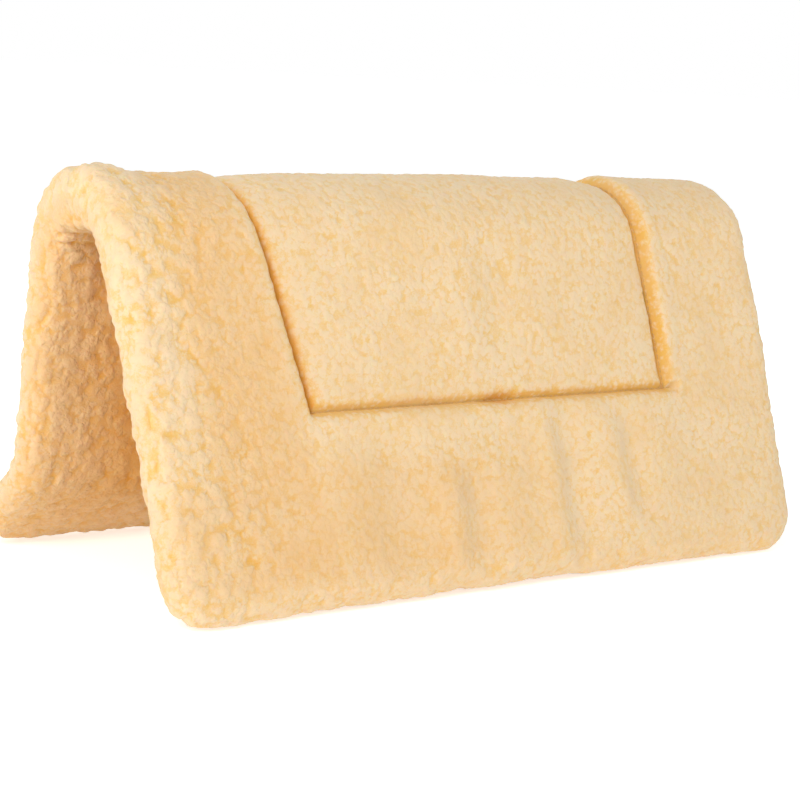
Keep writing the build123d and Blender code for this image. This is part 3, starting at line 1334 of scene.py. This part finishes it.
    def fill(self, cover: bpy.types.Object) -> None:
        """Swell the blank between its seams by cloth simulation, and keep the result.

        Args:
            cover: The blank, changed in place.
        """
        before = mesh_points(cover.data)
        seam_gap = np.abs(self.seat_box.outline_distance(before))
        held = np.nonzero(seam_gap < self.held_share * self.voxel)[0]
        sewn = cover.vertex_groups.new(name="sewn")
        sewn.add([int(index) for index in held], 1.0, "REPLACE")
        cloth = cover.modifiers.new("filling", "CLOTH")
        cloth.settings.vertex_group_mass = "sewn"
        cloth.settings.use_pressure = True
        cloth.settings.uniform_pressure_force = self.pressure
        cloth.settings.effector_weights.gravity = 0.0
        cloth.settings.quality = 3
        cloth.settings.tension_stiffness = 15.0
        cloth.settings.bending_stiffness = 2.0
        cloth.collision_settings.use_collision = False
        cloth.point_cache.frame_start = 1
        cloth.point_cache.frame_end = self.filling_frames
        for number in range(1, self.filling_frames + 1):
            bpy.context.scene.frame_set(number)
        apply_modifier(cover, "filling")
        bpy.context.scene.frame_set(1)
        after = mesh_points(cover.data)
        move = after - before
        reach = np.linalg.norm(move, axis=1, keepdims=True)
        move *= self.swell_limit * np.tanh(reach / self.swell_limit) / np.maximum(reach, TINY)
        set_mesh_points(cover.data, before + move)

    def trim_to_pattern(self, cover: bpy.types.Object) -> None:
        """Bring the filled cover's outline back to the pattern's length and girth.

        Args:
            cover: The filled cover, changed in place.
        """
        points = mesh_points(cover.data)
        pattern = np.array([self.drape.half_length, self.drape.half_girth])
        points[:, :2] *= pattern / np.abs(points[:, :2]).max(axis=0)
        set_mesh_points(cover.data, points)

    def refine(self, cover: bpy.types.Object) -> None:
        """Subdivide the filled blank once, smoothly.

        Args:
            cover: The filled cover, changed in place.
        """
        smooth = cover.modifiers.new("finer_mesh", "SUBSURF")
        smooth.levels = 1
        smooth.render_levels = 1
        apply_modifier(cover, "finer_mesh")

    def edge_gap(self, points: np.ndarray) -> np.ndarray:
        """Measure inwards from the pad's outline.

        Args:
            points: Places in bench coordinates.

        Returns:
            The distance of each point from the nearest edge.
        """
        along = self.drape.half_length - np.abs(points[:, 0])
        across = self.drape.half_girth - np.abs(points[:, 1])
        radius = self.corner_radius
        corner = radius - np.hypot(np.maximum(radius - along, 0.0), np.maximum(radius - across, 0.0))
        in_corner = (along < radius) & (across < radius)
        return np.where(in_corner, corner, np.minimum(along, across))

    def sew(self, cover: bpy.types.Object) -> None:
        """Draw the pile down along the seams, wrinkle the flaps and let the edges wander.

        Args:
            cover: The filled blank, changed in place.
        """
        points = mesh_points(cover.data)
        rim_free = smooth_step(np.abs(points[:, 2]), self.rim_height, self.face_height)
        away = np.sign(points[:, 2]) * rim_free
        top_skin = points[:, 2] > 0.0
        height = self.seam_shape.height(points, self.seat_box)
        height += self.crest_shape.height(points, self.drape.half_length)
        for wrinkle in NEAR_WRINKLES + OFF_WRINKLES:
            height += np.where(top_skin, 1.0, -0.5) * wrinkle.height(points)
        points[:, 2] += away * height
        wander = soft_noise(points * np.array([1.0, 1.0, 0.2]), self.wander_size, 91)
        near_edge = 1.0 - smooth_step(self.edge_gap(points), 0.0, self.wander_reach)
        points[:, 0] += self.wander_along * wander * near_edge
        points[:, 1] += self.wander_across * wander * near_edge * np.sign(points[:, 1])
        set_mesh_points(cover.data, points)

    def depth_of_colour(self, points: np.ndarray) -> np.ndarray:
        """Work out how deep the painted shade in the wool's colour is.

        Args:
            points: Places in bench coordinates.

        Returns:
            0 for the palest wool and 1 for the deepest, for each place.
        """
        edge_gap = self.edge_gap(points)
        under = self.staining.underside(points, edge_gap)
        seam = self.staining.seams(points, self.seat_box)
        # Painted shade: deeper colour in the dimples where the near lower seam starts and stops.
        seam = np.maximum(seam, self.staining.dimple_share * self.seam_shape.dimple(points, self.seat_box))
        handled = self.staining.handled(points, edge_gap, self.seat_box, self.drape.half_length)
        return np.maximum(np.maximum(under, seam), handled)

    def raise_pile(self, cover: bpy.types.Object) -> None:
        """Raise the wool's locks along the normals, and keep the lock field for the colour.

        Args:
            cover: The sewn cover, changed in place.
        """
        points = mesh_points(cover.data)
        from_front = self.drape.half_length - points[:, 0]
        coarseness = self.pile.coarseness(points, from_front, self.edge_gap(points))
        relief, locks = self.pile.relief(points, coarseness)
        in_channel = hill(self.seat_box.outline_distance(points), self.channel_reach)
        relief *= 1.0 - 0.6 * in_channel
        # Painted shade: the lock field sinks in the seam channels, so the colour there goes towards the
        # crease colour.
        locks = np.clip(locks * (1.0 - 0.75 * in_channel), 0.0, 1.0)
        set_mesh_points(cover.data, points + mesh_normals(cover.data) * relief[:, None])
        # The deep field is painted shade.
        fields = {"lock": locks, "open": coarseness, "deep": self.depth_of_colour(points)}
        for name, values in fields.items():
            attribute = cover.data.attributes.new(name, "FLOAT", "POINT")
            attribute.data.foreach_set("value", values.astype(np.float32))

    def split_at_crest(self, cover: bpy.types.Object) -> dict[Side, bpy.types.Object]:
        """Cut the cover along its crest line into two closed halves.

        Args:
            cover: The finished flat cover, used up.

        Returns:
            One half for each side, in bench coordinates.
        """
        halves = {}
        for side in Side:
            half = cover.copy()
            half.data = cover.data.copy()
            half.name = side.word + "_fleece_cover"
            bpy.context.collection.objects.link(half)
            make_active(half)
            bpy.ops.object.mode_set(mode="EDIT")
            bpy.ops.mesh.select_all(action="SELECT")
            bpy.ops.mesh.bisect(plane_co=(0.0, self.crest_cut, 0.0), plane_no=(0.0, 1.0, 0.0),
                                clear_inner=side is Side.NEAR, clear_outer=side is Side.OFF)
            bpy.ops.mesh.fill(use_beauty=True)
            bpy.ops.mesh.normals_make_consistent(inside=False)
            bpy.ops.object.mode_set(mode="OBJECT")
            halves[side] = half
        bpy.data.objects.remove(cover, do_unlink=True)
        return halves

    def join_shading(self, halves: dict[Side, bpy.types.Object]) -> None:
        """Give the halves' shared crest line one set of normals, so that no line shows.

        Args:
            halves: The two draped halves, changed in place.
        """
        sums = {}
        normals = {}
        borders = {}
        for side, half in halves.items():
            mesh = half.data
            cap = {face.index for face in mesh.polygons if face.select}
            borders[side] = {index for number in cap for index in mesh.polygons[number].vertices}
            table = {index: Vector() for index in borders[side]}
            for face in mesh.polygons:
                if face.index in cap:
                    continue
                for index in face.vertices:
                    if index in table:
                        table[index] += face.normal * face.area
            for index, normal in table.items():
                key = tuple(round(value, 5) for value in mesh.vertices[index].co)
                sums[key] = sums.get(key, Vector()) + normal
            normals[side] = mesh_normals(mesh)
        for side, half in halves.items():
            mesh = half.data
            for index in borders[side]:
                key = tuple(round(value, 5) for value in mesh.vertices[index].co)
                normals[side][index] = sums[key].normalized()
            make_active(half)
            bpy.ops.object.shade_smooth()
            mesh.normals_split_custom_set_from_vertices(normals[side])

    def dress(self, half: bpy.types.Object, side: Side) -> None:
        """Give a half its material, bake its transform and hide the imported nodes that it stands for.

        Args:
            half: The draped half.
            side: Which flap it is.
        """
        half.data.materials.clear()
        half.data.materials.append(self.material)
        blend_over_fold(half, side, self.drape)
        nodes = [side.word + "_top_fleece", side.word + "_underside_fleece"]
        if side is Side.NEAR:
            nodes += ["spine_top_fleece", "spine_underside_fleece"]
        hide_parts(*nodes)
        LOG.info("%s: %d faces", half.name, len(half.data.polygons))


def blend_over_fold(piece: bpy.types.Object, side: Side, drape: Drape) -> None:
    """Work out the crest line and the end of the bend for a piece, and bake its transform into its mesh.

    Args:
        piece: The draped piece.
        side: The flap that it reaches.
        drape: The drape that gives the crest line and the end of the bend.
    """
    bend_end = side.value * drape.crest_radius * drape.crest_bend(side)
    inner = -drape.half_thickness
    start, end = drape.place(np.array([[0.0, 0.0, inner], [0.0, bend_end, drape.half_thickness]]))
    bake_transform(piece)


# ---------------------------------------------------------------- the foam core


@dataclass
class FoamCore:
    """The sheet of foam between the two fleeces, split at the crest like the cover.

    Attributes:
        drape: The spine and flaps to lay it over.
        inset: How far it stops inside the pad's edge.
        half_thickness: Half its thickness.
        grid: Spacing of the cuts that let it bend.
        corner_radius: Rounding of its corners.
        material: The finish.
    """

    drape: Drape
    inset: float = 24.0 * MM
    half_thickness: float = 6.5 * MM
    grid: float = 9.0 * MM
    corner_radius: float = 20.0 * MM
    material: bpy.types.Material = field(default_factory=lambda: FoamFinish().build())

    def build(self) -> list[bpy.types.Object]:
        """Make the core's two halves.

        Returns:
            The near and the off half.
        """
        return [self.half(side) for side in Side]

    def half(self, side: Side) -> bpy.types.Object:
        """Make one half: a slab cut across often enough to bend, laid over the spine.

        Args:
            side: The flap that it lies in.

        Returns:
            The draped half.
        """
        deselect_all()
        reach = self.drape.half_girth - self.inset
        bpy.ops.mesh.primitive_cube_add(size=1.0, location=(0.0, side.value * reach / 2, 0.0))
        piece = bpy.context.object
        piece.name = side.word + "_foam_sheet"
        piece.scale = (2 * (self.drape.half_length - self.inset), reach, 2 * self.half_thickness)
        bpy.ops.object.transform_apply(location=True, rotation=False, scale=True)
        FleeceCover.bevel_edges(piece, self.is_foot_corner, self.corner_radius, 5)
        make_active(piece)
        bpy.ops.object.mode_set(mode="EDIT")
        steps = int(reach / self.grid)
        for number in range(1, steps):
            bpy.ops.mesh.select_all(action="SELECT")
            bpy.ops.mesh.bisect(plane_co=(0.0, side.value * reach * number / steps, 0.0),
                                plane_no=(0.0, 1.0, 0.0))
        bpy.ops.object.mode_set(mode="OBJECT")
        set_mesh_points(piece.data, self.drape.place(mesh_points(piece.data)))
        bpy.ops.object.shade_smooth_by_angle(angle=math.radians(40.0))
        piece.data.materials.append(self.material)
        blend_over_fold(piece, side, self.drape)
        nodes = [side.word + "_foam_core"] + (["spine_foam_core"] if side is Side.NEAR else [])
        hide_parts(*nodes)
        LOG.info("%s: %d faces", piece.name, len(piece.data.polygons))
        return piece

    @staticmethod
    def is_foot_corner(start: Vector, end: Vector) -> bool:
        """Test for an edge through the thickness, away from the crest.

        Args:
            start: One end of the edge.
            end: The other end.

        Returns:
            True if the edge is at one of the foot's corners.
        """
        return abs(start.z - end.z) > 0.9 * (start - end).length and abs(start.y) > 0.1


# ---------------------------------------------------------------- the stitching


@dataclass
class Stitching:
    """Rows of lockstitch: the seat box's seams on both faces, and the closing seam in the edge.

    Attributes:
        drape: The spine and flaps to lay the rows over.
        seat_box: Where the rows on the faces run.
        pitch: Usual spacing of the stitches.
        stitch_length: Length of a stitch.
        stitch_width: Width of a stitch.
        stitch_rise: How far its middle bows up from its ends.
        seat_height: Height of the rows on the faces.
        edge_inset: How far the closing seam lies inside the edge.
        edge_corner: Radius of its corners.
        line_samples: Points along a lower seam's line.
        crossing_samples: Points along a front or rear seam's line.
        end_samples: Points along an end of the closing seam.
        foot_samples: Points along a foot of the closing seam.
        turn_samples: Points round a corner of the closing seam.
        material: The finish.
    """

    drape: Drape
    seat_box: SeatBox
    pitch: float = 7.0 * MM
    stitch_length: float = 5.8 * MM
    stitch_width: float = 1.5 * MM
    stitch_rise: float = 0.9 * MM
    seat_height: float = 10.4 * MM
    edge_inset: float = 11.0 * MM
    edge_corner: float = 34.0 * MM
    line_samples: int = 400
    crossing_samples: int = 300
    end_samples: int = 120
    foot_samples: int = 200
    turn_samples: int = 24
    material: bpy.types.Material = field(default_factory=lambda: ThreadFinish().build())

    def build(self) -> list[bpy.types.Object]:
        """Make every row of stitches.

        Returns:
            One piece for each seam of each side.
        """
        pieces = []
        for side in Side:
            for seam in ("front", "rear", "lower"):
                path = self.seam_path(seam, side)
                for skin in Skin:
                    face = "top" if skin is Skin.TOP else "underside"
                    name = f"{side.word}_{seam}_seam_{face}_stitches"
                    node = f"{seam}_seam_{face}_thread"
                    spine = [] if seam == "lower" or side is Side.OFF else ["spine_" + node]
                    row = self.row(name, path, skin.value * self.seat_height)
                    pieces.append(self.dress(row, side, [side.word + "_" + node] + spine))
            edge = self.row(side.word + "_edge_seam_stitches", self.edge_path(side), 0.0)
            spine = ["spine_edge_seam"] if side is Side.NEAR else []
            pieces.append(self.dress(edge, side, [side.word + "_edge_seam"] + spine))
        return pieces

    def seam_path(self, seam: str, side: Side) -> np.ndarray:
        """Sample a seam's line on the bench.

        Args:
            seam: front, rear or lower.
            side: The flap that it lies on.

        Returns:
            Rows of x and girth, closely spaced.
        """
        reach = self.seat_box.lower_girth
        if seam == "lower":
            ends = np.array([side.value * reach])
            front = self.seat_box.front(ends)[0]
            rear = self.seat_box.rear(ends)[0] - self.seat_box.overrun
            x = np.linspace(front, rear, self.line_samples)
            return np.stack([x, np.full_like(x, side.value * reach)], axis=1)
        girth = side.value * np.linspace(0.0, reach, self.crossing_samples)
        line = self.seat_box.front if seam == "front" else self.seat_box.rear
        return np.stack([line(girth), girth], axis=1)

    def edge_path(self, side: Side) -> np.ndarray:
        """Sample the closing seam's line round one flap.

        Args:
            side: The flap.

        Returns:
            Rows of x and girth from the crest's front end round to its rear end.
        """
        half = self.drape.half_length - self.edge_inset
        foot = self.drape.half_girth - self.edge_inset
        turn = self.edge_corner
        angle = np.linspace(0.0, math.pi / 2, self.turn_samples)
        front = np.stack([half - turn + turn * np.cos(angle), foot - turn + turn * np.sin(angle)], axis=1)
        rear = front[::-1] * np.array([-1.0, 1.0])
        down_girth = np.linspace(0.0, foot - turn, self.end_samples)
        down = np.stack([np.full_like(down_girth, half), down_girth], axis=1)
        across_x = np.linspace(half - turn, turn - half, self.foot_samples)
        across = np.stack([across_x, np.full_like(across_x, foot)], axis=1)
        path = np.concatenate([down, front, across, rear, down[::-1] * np.array([-1.0, 1.0])])
        return path * np.array([1.0, side.value])

    def row(self, name: str, path: np.ndarray, height: float) -> bpy.types.Object:
        """Lay stitches end to end along a line.

        Args:
            name: The piece's name.
            path: Rows of x and girth.
            height: Height of the row off the middle of the thickness.

        Returns:
            The draped row as one mesh.
        """
        steps = np.linalg.norm(np.diff(path, axis=0), axis=1)
        run = np.concatenate([[0.0], np.cumsum(steps)])
        count = max(1, int(run[-1] / self.pitch))
        spacing = run[-1] / count
        row = self.one_stitch(spacing / 2)
        row.name = name
        repeat = row.modifiers.new("stitches", "ARRAY")
        repeat.count = count
        repeat.use_relative_offset = False
        repeat.use_constant_offset = True
        repeat.constant_offset_displace = (spacing, 0.0, 0.0)
        apply_modifier(row, "stitches")
        points = mesh_points(row.data)
        here = self.on_path(points[:, 0], run, path)
        ahead = self.on_path(points[:, 0] + 1 * MM, run, path)
        back = self.on_path(points[:, 0] - 1 * MM, run, path)
        along = (ahead - back) / np.linalg.norm(ahead - back, axis=1, keepdims=True)
        across = np.stack([-along[:, 1], along[:, 0]], axis=1)
        flat = here + points[:, 1:2] * across
        lifted = np.column_stack([flat, height + points[:, 2]])
        set_mesh_points(row.data, self.drape.place(lifted))
        bpy.ops.object.shade_smooth()
        return row

    @staticmethod
    def on_path(distance: np.ndarray, run: np.ndarray, path: np.ndarray) -> np.ndarray:
        """Find the places that lie given distances along a line.

        Args:
            distance: Distances from the line's start.
            run: Distance of each of the line's own points from its start.
            path: The line's own points.

        Returns:
            Rows of x and girth.
        """
        return np.stack([np.interp(distance, run, path[:, axis]) for axis in range(2)], axis=1)

    def one_stitch(self, centre: float) -> bpy.types.Object:
        """Model one stitch: a short bowed strand that dives at both ends.

        Args:
            centre: Distance of its middle along the row.

        Returns:
            The stitch, lying along x.
        """
        deselect_all()
        bpy.ops.mesh.primitive_uv_sphere_add(segments=6, ring_count=6, radius=0.5,
                                             rotation=(0.0, math.pi / 2, 0.0))
        stitch = bpy.context.object
        bpy.ops.object.transform_apply(location=False, rotation=True, scale=False)
        stitch.scale = (self.stitch_length, self.stitch_width, 0.8 * self.stitch_width)
        bpy.ops.object.transform_apply(location=False, rotation=False, scale=True)
        points = mesh_points(stitch.data)
        bow = np.cos(math.pi * points[:, 0] / self.stitch_length)
        points[:, 2] += self.stitch_rise * (bow - 0.5)
        points[:, 0] += centre
        set_mesh_points(stitch.data, points)
        return stitch

    def dress(self, row: bpy.types.Object, side: Side, nodes: list[str]) -> bpy.types.Object:
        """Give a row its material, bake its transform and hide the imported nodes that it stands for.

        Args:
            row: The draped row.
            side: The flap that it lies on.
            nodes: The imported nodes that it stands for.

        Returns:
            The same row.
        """
        row.data.materials.append(self.material)
        blend_over_fold(row, side, self.drape)
        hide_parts(*nodes)
        LOG.info("%s: %d faces", row.name, len(row.data.polygons))
        return row


# ---------------------------------------------------------------- studio


@dataclass
class Studio:
    """Plain pale floor, soft lights and the camera.

    Attributes:
        azimuth: Direction to the camera, in degrees.
        elevation: Height of the camera, in degrees.
        roll: Roll of the camera, in degrees.
        distance: From the aim to the camera.
        aim: Place that the camera looks at.
        lens: Focal length in millimetres.
        surround: Strength of the light from all round.
        floor_glow: Strength of the light that the floor itself gives the pad.
        floor_white: Strength of that light in the camera's view.
    """

    azimuth: float = 143.07
    elevation: float = 9.66
    roll: float = -3.27
    distance: float = 1.945
    aim: Place = (0.0122, -0.0013, 0.1472)
    lens: float = 89.46
    surround: float = 0.50
    floor_glow: float = 0.26
    floor_white: float = 0.55

    def build(self) -> None:
        """Set up everything that isn't part of the pad."""
        self.floor()
        self.lights()
        self.camera()

    def floor(self) -> None:
        """Lay a wide pale floor at the surface that the pad stands on."""
        deselect_all()
        bpy.ops.mesh.primitive_plane_add(size=80.0, location=(0.0, 0.0, 0.0))
        floor = bpy.context.object
        floor.name = "studio_floor"
        material, tree, shader = new_material("studio_floor_paint")
        noise = add_node(tree, "ShaderNodeTexNoise", Scale=3.0, Detail=2.0)
        place = add_node(tree, "ShaderNodeTexCoord")
        ramp = add_node(tree, "ShaderNodeMix", data_type="RGBA")
        ramp.inputs["A"].default_value = (0.94, 0.94, 0.94, 1.0)
        ramp.inputs["B"].default_value = (0.97, 0.97, 0.97, 1.0)
        tree.links.new(place.outputs["Object"], noise.inputs["Vector"])
        tree.links.new(noise.outputs["Fac"], ramp.inputs["Factor"])
        tree.links.new(ramp.outputs["Result"], shader.inputs["Base Color"])
        shader.inputs["Roughness"].default_value = 0.8
        shader.inputs["Emission Color"].default_value = (1.0, 1.0, 1.0, 1.0)
        strength = self.brighter_to_camera(tree, self.floor_glow, self.floor_white)
        tree.links.new(strength, shader.inputs["Emission Strength"])
        floor.data.materials.append(material)

    def lights(self) -> None:
        """Hang a large key light, three weaker ones round it and an even white surround."""
        world = bpy.data.worlds.new("studio_surround")
        world.use_nodes = True
        tree = world.node_tree
        sky = tree.nodes["Background"]
        sky.inputs["Color"].default_value = (1.0, 1.0, 1.0, 1.0)
        tree.links.new(self.brighter_to_camera(tree, self.surround, 1.0), sky.inputs["Strength"])
        bpy.context.scene.world = world
        self.area("key_light", (2.3, 1.5, 1.9), 1.1, 44.0)
        self.area("fill_light", (-1.4, 2.4, 1.4), 2.2, 12.0)
        self.area("front_light", (2.6, -0.3, 0.6), 1.2, 7.5)
        self.area("back_light", (0.3, -2.0, 2.0), 1.6, 9.0)

    @staticmethod
    def brighter_to_camera(tree: bpy.types.NodeTree, given: float, seen: float) -> bpy.types.NodeSocket:
        """Give one strength to the light that falls on the pad and another to what the camera sees.

        Args:
            tree: The tree to add to.
            given: Strength of the light given.
            seen: Strength in the camera's view.

        Returns:
            The strength to use.
        """
        path = add_node(tree, "ShaderNodeLightPath")
        strength = add_node(tree, "ShaderNodeMapRange")
        strength.inputs["To Min"].default_value = given
        strength.inputs["To Max"].default_value = seen
        tree.links.new(path.outputs["Is Camera Ray"], strength.inputs["Value"])
        return strength.outputs["Result"]

    def area(self, name: str, spot: Place, size: float, power: float) -> None:
        """Hang one square light that faces the pad.

        Args:
            name: The light's name.
            spot: Where it hangs.
            size: Length of its sides.
            power: Its power in watts.
        """
        lamp = bpy.data.lights.new(name, "AREA")
        lamp.size = size
        lamp.energy = power
        holder = bpy.data.objects.new(name, lamp)
        holder.location = spot
        towards = Vector(self.aim) - Vector(spot)
        holder.rotation_euler = towards.to_track_quat("-Z", "Y").to_euler()
        bpy.context.collection.objects.link(holder)

    def camera(self) -> None:
        """Set up the camera at the viewing angle."""
        turn, lift = math.radians(self.azimuth), math.radians(self.elevation)
        back = Vector((math.sin(turn) * math.cos(lift), -math.cos(turn) * math.cos(lift), math.sin(lift)))
        lens = bpy.data.cameras.new("camera")
        lens.lens = self.lens
        lens.sensor_width = 36.0
        lens.clip_end = 200.0
        camera = bpy.data.objects.new("camera", lens)
        level = back.to_track_quat("Z", "Y").to_matrix().to_4x4()
        tilt = Matrix.Rotation(math.radians(-self.roll), 4, "Z")
        camera.matrix_world = Matrix.Translation(Vector(self.aim) + back * self.distance) @ level @ tilt
        bpy.context.collection.objects.link(camera)
        bpy.context.scene.camera = camera


def main() -> None:
    """Build the pad's layers, its stitching and the studio, in that order."""
    logging.basicConfig(level=logging.INFO, format="%(name)s: %(message)s")
    bpy.context.scene.view_settings.view_transform = "Standard"
    drape = Drape()
    seat_box = SeatBox(drape)
    FleeceCover(drape, seat_box, Pile()).build()
    FoamCore(drape).build()
    Stitching(drape, seat_box).build()
    Studio().build()


if __name__ == "__main__":
    main()
